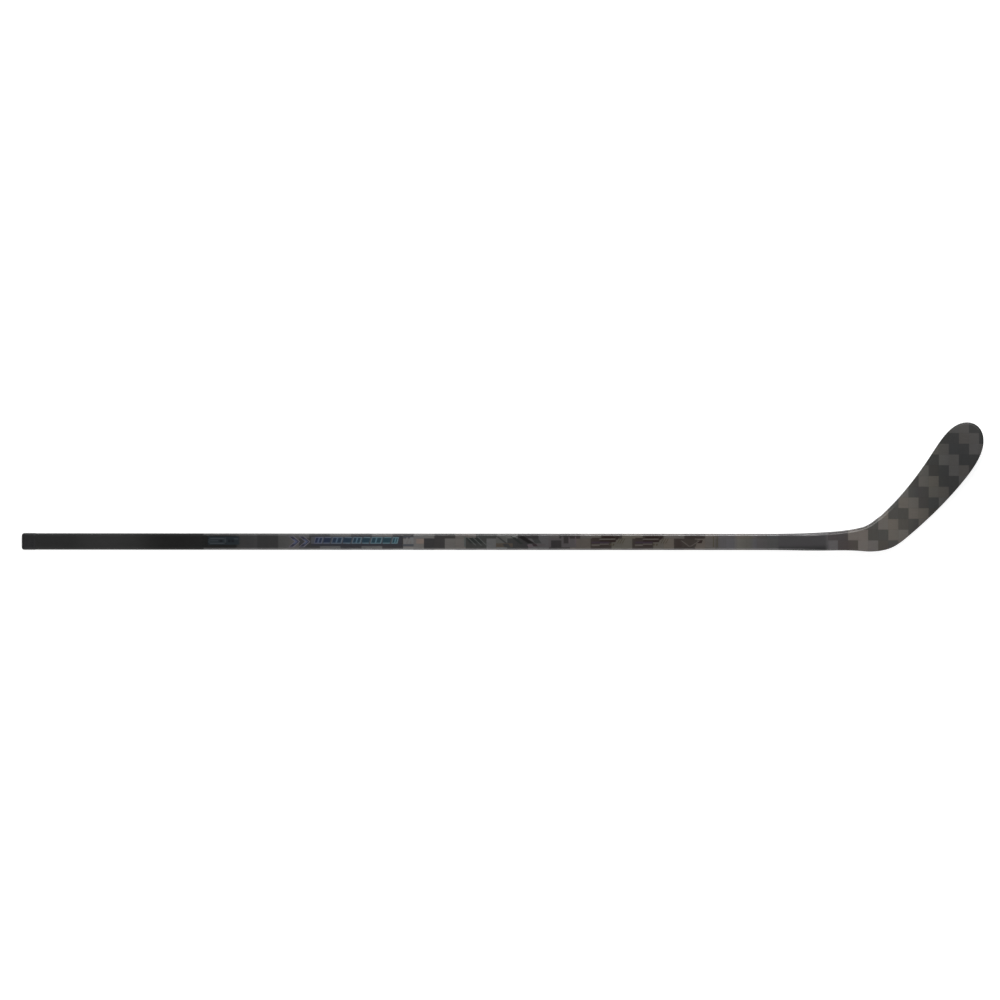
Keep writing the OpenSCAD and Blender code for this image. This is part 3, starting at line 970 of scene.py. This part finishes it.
def make_hatch():
    """Pale slanted lines on a dark tow, then dark stripes, small squares and upright lines."""
    pale = ink_material("hatch_pale", (74, 76, 75))
    green = ink_material("hatch_green", (46, 48, 47))
    black = ink_material("hatch_black", (39, 38, 38))
    grey = ink_material("hatch_grey", (57, 57, 57))
    sage = ink_material("hatch_sage", (76, 76, 74))
    brown = ink_material("hatch_brown", (70, 65, 60))
    plum = ink_material("hatch_plum", (54, 48, 50))
    rose = ink_material("hatch_rose", (80, 73, 76))
    mauve = ink_material("hatch_mauve", (73, 70, 71))
    bright = ink_material("hatch_bright", (104, 104, 104))
    materials = [pale, green, black, grey, sage, brown, plum, rose, mauve, bright]
    plates = [
        (bar(815, 818.4, -9, 9.6), 0, 0),
        (bar(826, 850, -2.8, 7.4, -8), 0, 1),
        (bar(874, 893, -2.8, 9.8), 0, 4),
        (bar(874, 905, -10, -2.8), 0, 5),
        (bar(891, 895.5, -3, 9.8, -17), 1, 3),
        (bar(890, 901, -10, -4, -4), 1, 3),
        (bar(918, 924, -4, 9.8, -17), 0, 1),
        (bar(934, 946, -3.4, 10.2, -21), 0, 2),
        (bar(904, 911, 8.4, 10.3), 1, 9),
        (bar(946, 958, -3, 6, -6), 0, 3),
        (bar(934, 942, -10.2, -5, -3), 1, 7),
        (bar(943, 951, -8.6, -3.8, -3), 1, 6),
        (bar(951, 966, -8.6, -3.8, -2), 1, 8),
        (bar(970.5, 975.4, -10.2, 6), 0, 8),
        (bar(975.4, 994.5, 2.6, 6), 0, 8),
        (bar(994.5, 998.5, -3, 9.8), 0, 8),
        (bar(994.5, 1021.5, -10.2, -3), 0, 8),
        (bar(1007.6, 1009.6, -3, 9.8), 1, 7),
        (bar(1009.6, 1019.4, -3, 5.8), 0, 8),
        (bar(1019.4, 1021.6, -3, 9.8), 1, 7),
    ]
    for start in (836, 846, 856):
        plates.append((bar(start, start + 2.6, -7, 9.4, -17.5), 1, 0))
    return make_marks("hatch_marks", plates, materials, "hatch_decal")


def block_plates(a):
    """A block from its left end: stepped bars, a plum band, gold dots and slanted hairlines."""
    plates = [
        (bar(a + 2, a + 20, -3, 7.6, 2), 0, 0),
        (bar(a + 21, a + 46, 6.6, 10.2, 2), 0, 1),
        (bar(a + 46, a + 51, 4, 10.2, 4), 0, 1),
        (bar(a + 17, a + 47, -0.6, 3.4, 2), 1, 1),
        (bar(a + 17, a + 45, 3.4, 5.8, 1), 1, 3),
        (bar(a + 3, a + 35, -3, 0.4, 1), 2, 2),
        (bar(a + 17, a + 34, -10, -5.2, 1), 0, 0),
        (bar(a + 3, a + 18, -7.6, -4.8), 1, 3),
        (bar(a + 18, a + 35, -5.2, -3.3), 1, 3),
    ]
    for at in (a + 36, a + 41.5):
        plates.append((bar(at, at + 3, -7, -3.4, 1), 0, 4))
    for j in range(3):
        at = a + 50 + j * 4.4
        plates.append((bar(at, at + 1.5, -3, 6, 5), 0, 4))
    return plates


def crossed_plates(a):
    """The last block: a slab, a top bar and a field with two light strokes that meet below."""
    plates = [
        (bar(a + 1, a + 11, -10, 4.4, 1), 0, 0),
        (bar(a + 13, a + 38, -8.6, 4.4, 4), 0, 5),
        (bar(a + 19, a + 53, 6.4, 9.8, 2), 0, 0),
        (bar(a + 25, a + 28, -8.6, 2.4, -15), 1, 3),
        (bar(a + 27, a + 30, -8.6, 2.4, 17), 1, 3),
        (bar(a + 41, a + 49, -2.4, 3.2, 2), 0, 1),
    ]
    for at in (a + 70, a + 77):
        plates.append((bar(at, at + 1.6, -9.6, 9.6), 0, 4))
    return plates


def make_blocks():
    """Two stepped dark blocks and a crossed one, in browns, plum and old gold."""
    dark = ink_material("block_dark", (56, 51, 49))
    black = ink_material("block_black", (45, 39, 35))
    plum = ink_material("block_plum", (57, 51, 56))
    bar_tone = ink_material("block_bar", (80, 76, 73))
    gold = ink_material("block_gold", (66, 61, 53))
    field = ink_material("block_field", (60, 56, 53))
    materials = [dark, black, plum, bar_tone, gold, field]
    blocks = (block_plates(1047), block_plates(1127), crossed_plates(1204))
    for i, plates in enumerate(blocks):
        make_marks(f"block_mark_{i + 1}", plates, materials, "block_decals")


# ---------------------------------------------------------------- studio
def make_floor():
    """A wide sheet, a hair below the stick's back so that the two don't meet."""
    size, level = 60.0, -0.0004
    mesh = bpy.data.meshes.new("studio_floor")
    turns = ((-1, -1), (1, -1), (1, 1), (-1, 1))
    mesh.from_pydata([(size * x, size * y, level) for x, y in turns], [], [(0, 1, 2, 3)])
    mesh.materials.append(floor_material())
    obj = bpy.data.objects.new("studio_floor", mesh)
    bpy.context.scene.collection.objects.link(obj)


def make_light(name, place_at, aim, size, power):
    """A soft panel light that the camera doesn't see."""
    data = bpy.data.lights.new(name, "AREA")
    data.shape = "RECTANGLE"
    data.size, data.size_y = size
    data.energy = power
    obj = bpy.data.objects.new(name, data)
    obj.location = place_at
    obj.rotation_euler = (Vector(aim) - Vector(place_at)).to_track_quat("-Z", "Y").to_euler()
    obj.visible_camera = False
    bpy.context.scene.collection.objects.link(obj)


def make_studio():
    """Soft lights on both long sides, and a sky that is white only behind the picture."""
    make_floor()
    middle = (0.1, 0.0, 0.0)
    make_light("long_upper", (0.1, 1.9, 1.6), middle, (3.4, 0.9), 44)
    make_light("key_upper", (0.42, 1.5, 1.3), (0.42, 0, 0), (0.8, 0.3), 20)
    make_light("long_lower", (-0.35, -2.1, 1.7), (-0.2, 0, 0), (2.6, 1.2), 50)
    world = bpy.data.worlds.new("studio")
    bpy.context.scene.world = world
    world.use_nodes = True
    tree = world.node_tree
    tree.nodes.clear()
    ray = tree.nodes.new("ShaderNodeLightPath")
    level = tree.nodes.new("ShaderNodeMapRange")
    level.inputs["To Min"].default_value = 0.128
    level.inputs["To Max"].default_value = 1.0
    back = tree.nodes.new("ShaderNodeBackground")
    back.inputs["Color"].default_value = (1, 1, 1, 1)
    out = tree.nodes.new("ShaderNodeOutputWorld")
    tree.links.new(ray.outputs["Is Camera Ray"], level.inputs["Value"])
    tree.links.new(level.outputs["Result"], back.inputs["Strength"])
    tree.links.new(back.outputs[0], out.inputs["Surface"])


def make_camera():
    """Straight above the front face, square to the shaft, with the whole stick in view."""
    data = bpy.data.cameras.new("camera")
    data.type = "ORTHO"
    data.ortho_scale = 1.843
    obj = bpy.data.objects.new("camera", data)
    obj.location = (0.0813, 0.07695, 3.0)
    obj.rotation_euler = (0, 0, 0.0007)
    bpy.context.scene.collection.objects.link(obj)
    bpy.context.scene.camera = obj


# ---------------------------------------------------------------- the scene
make_camera()
make_studio()
bpy.context.scene.view_settings.view_transform = "Standard"

make_cap(cap_material())
make_shells(
    grip_material(),
    shaft_weave_material(),
    blade_material("hosel_carbon", plain_from=687),
)
face = blade_material("blade_spread_tow")
make_face("forehand_face", 1, face, "spread_tow", "front_skin")
make_face("backhand_face", -1, face, "spread_tow", "back_skin")
make_rim(rim_material())
make_label()
make_accent()
make_hatch()
make_blocks()

carbon = carbon_material()
adhesive = adhesive_material()
inner = {
    "shaft_tube": carbon,
    "hosel_tenon": carbon,
    "core_rib": carbon,
    "cap_adhesive": adhesive,
    "tenon_bond": adhesive,
    "hosel_core": foam_material("dense_foam", (214, 200, 164), 0.5),
    "upper_core": foam_material("light_foam", (206, 150, 140), 0.8),
    "toe_fill": resin_material(),
}
inner["heel_core"] = inner["hosel_core"]
inner["lower_core"] = inner["upper_core"]
for node, material in inner.items():
    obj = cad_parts[node]
    obj.data.materials.clear()
    obj.data.materials.append(material)

bpy.context.view_layer.update()
